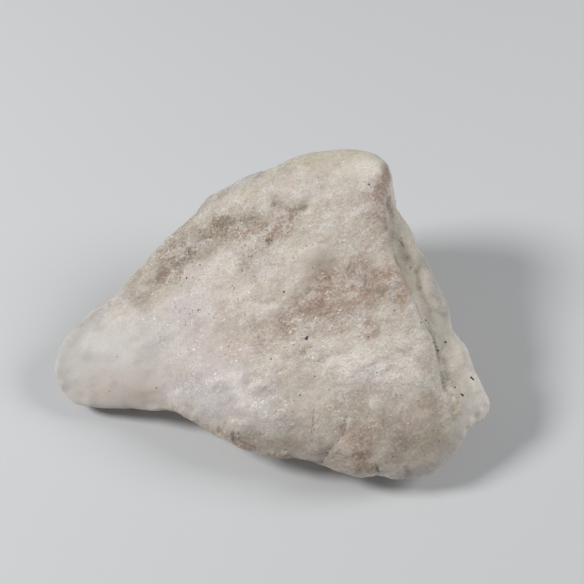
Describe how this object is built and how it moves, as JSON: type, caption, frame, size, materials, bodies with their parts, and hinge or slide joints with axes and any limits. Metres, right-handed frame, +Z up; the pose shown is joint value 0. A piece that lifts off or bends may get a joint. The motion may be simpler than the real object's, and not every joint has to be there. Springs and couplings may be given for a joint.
{
  "type": "calcite specimen",
  "caption": "Hand specimen of massive white calcite: one broken stone with a broad tilted face, a low arm and a side ledge, lying on a flat fracture face.",
  "frame": {"origin": "middle of the stone's footprint box, on the surface that it lies on", "axes": "+Z up, +X from the arm's tip towards the side ledge, -Y the side that the broad face is tilted towards"},
  "size_m": [0.1116, 0.0774, 0.0476],
  "materials": {
    "calcite": "matte"
  },
  "bodies": {
    "root": {"calcite_stone": "calcite"}
  },
  "joints": []
}
